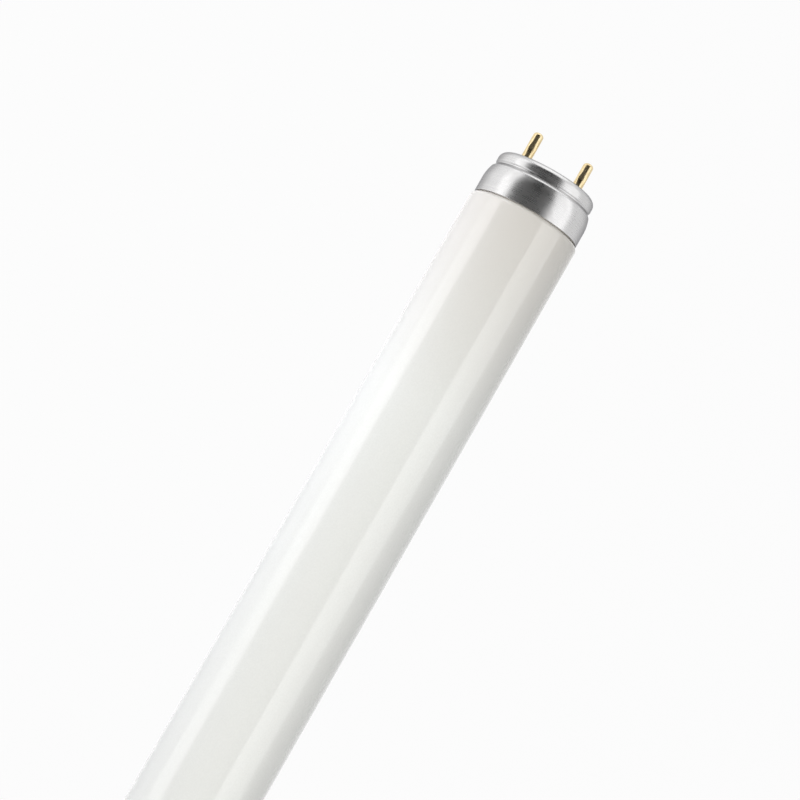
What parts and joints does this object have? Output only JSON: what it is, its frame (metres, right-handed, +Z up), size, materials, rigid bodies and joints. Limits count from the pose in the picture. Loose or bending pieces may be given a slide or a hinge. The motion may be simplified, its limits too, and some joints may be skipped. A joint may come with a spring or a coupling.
{
  "type": "fluorescent tube",
  "caption": "Straight fluorescent tube: a sealed white-coated glass tube with a drawn aluminium cap and brass contact pins on each end, for a two-pin lampholder.",
  "frame": {"origin": "centre of the tube, midway between the two caps", "axes": "+X along the tube towards the pictured end, +Y across from the front pin to the back pin, +Z up"},
  "size_m": [0.604, 0.0258, 0.0258],
  "materials": {
    "coated_glass": "smooth clear glass over a matt white phosphor lining",
    "cap_aluminium": "bare drawn sheet, satin",
    "pin_brass": "drawn brass, lightly tarnished",
    "disc_plastic": "pressed insulating board",
    "basing_cement": "cured basing cement",
    "lead_wire": "plated wire"
  },
  "bodies": {
    "root": {"glass_tube": "coated_glass", "right_end_cap": "cap_aluminium", "right_insulating_disc": "disc_plastic", "right_basing_cement": "basing_cement", "right_contact_pin_front": "pin_brass", "right_lead_wire_front": "lead_wire", "right_contact_pin_back": "pin_brass", "right_lead_wire_back": "lead_wire", "left_end_cap": "cap_aluminium", "left_insulating_disc": "disc_plastic", "left_basing_cement": "basing_cement", "left_contact_pin_front": "pin_brass", "left_lead_wire_front": "lead_wire", "left_contact_pin_back": "pin_brass", "left_lead_wire_back": "lead_wire"}
  },
  "joints": []
}
